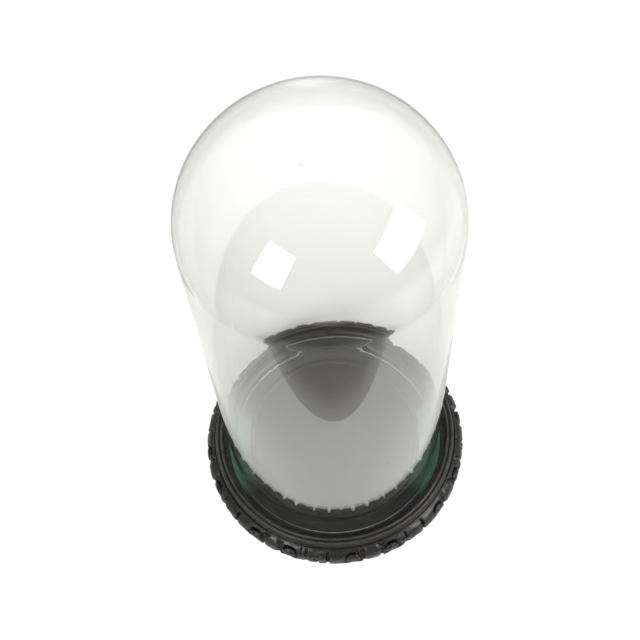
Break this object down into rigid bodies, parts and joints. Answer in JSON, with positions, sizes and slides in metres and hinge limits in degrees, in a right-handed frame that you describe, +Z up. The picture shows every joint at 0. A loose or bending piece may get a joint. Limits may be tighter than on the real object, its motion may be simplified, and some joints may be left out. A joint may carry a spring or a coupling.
{
  "type": "glass display dome with carved base",
  "caption": "Tall blown glass display dome that stands loose on a turned and carved black wooden base and lifts off to reach the exhibit.",
  "frame": {"origin": "centre of the circle of feet, on the surface the object stands on", "axes": "+Z up along the axis of the dome; -Y is the front"},
  "size_m": [0.226, 0.226, 0.428],
  "materials": {
    "glass": "clear blown glass with a faint green tint",
    "green_felt": "dark green wool felt",
    "floor_wood": "ebonised, waxed",
    "ebonised_wood": "ebonised, satin polish, worn on its edges",
    "carved_wood": "ebonised carving, satin polish on the high places",
    "pad_felt": "dark felt",
    "screw_steel": "dulled steel"
  },
  "bodies": {
    "base": {"base_board": "ebonised_wood", "carved_rim": "carved_wood", "bead_moulding": "ebonised_wood", "floor_board": "floor_wood", "seat_felt": "green_felt", "rim_screws": "screw_steel", "foot_1": "ebonised_wood", "foot_2": "ebonised_wood", "foot_3": "ebonised_wood", "foot_4": "ebonised_wood", "foot_pad_1": "pad_felt", "foot_pad_2": "pad_felt", "foot_pad_3": "pad_felt", "foot_pad_4": "pad_felt"},
    "dome": {"glass_dome": "glass"}
  },
  "joints": [
    {"name": "dome_lift", "type": "slide", "parent": "base", "child": "dome", "axis": [0, 0, 1], "range_m": [0, 0.4]}
  ]
}
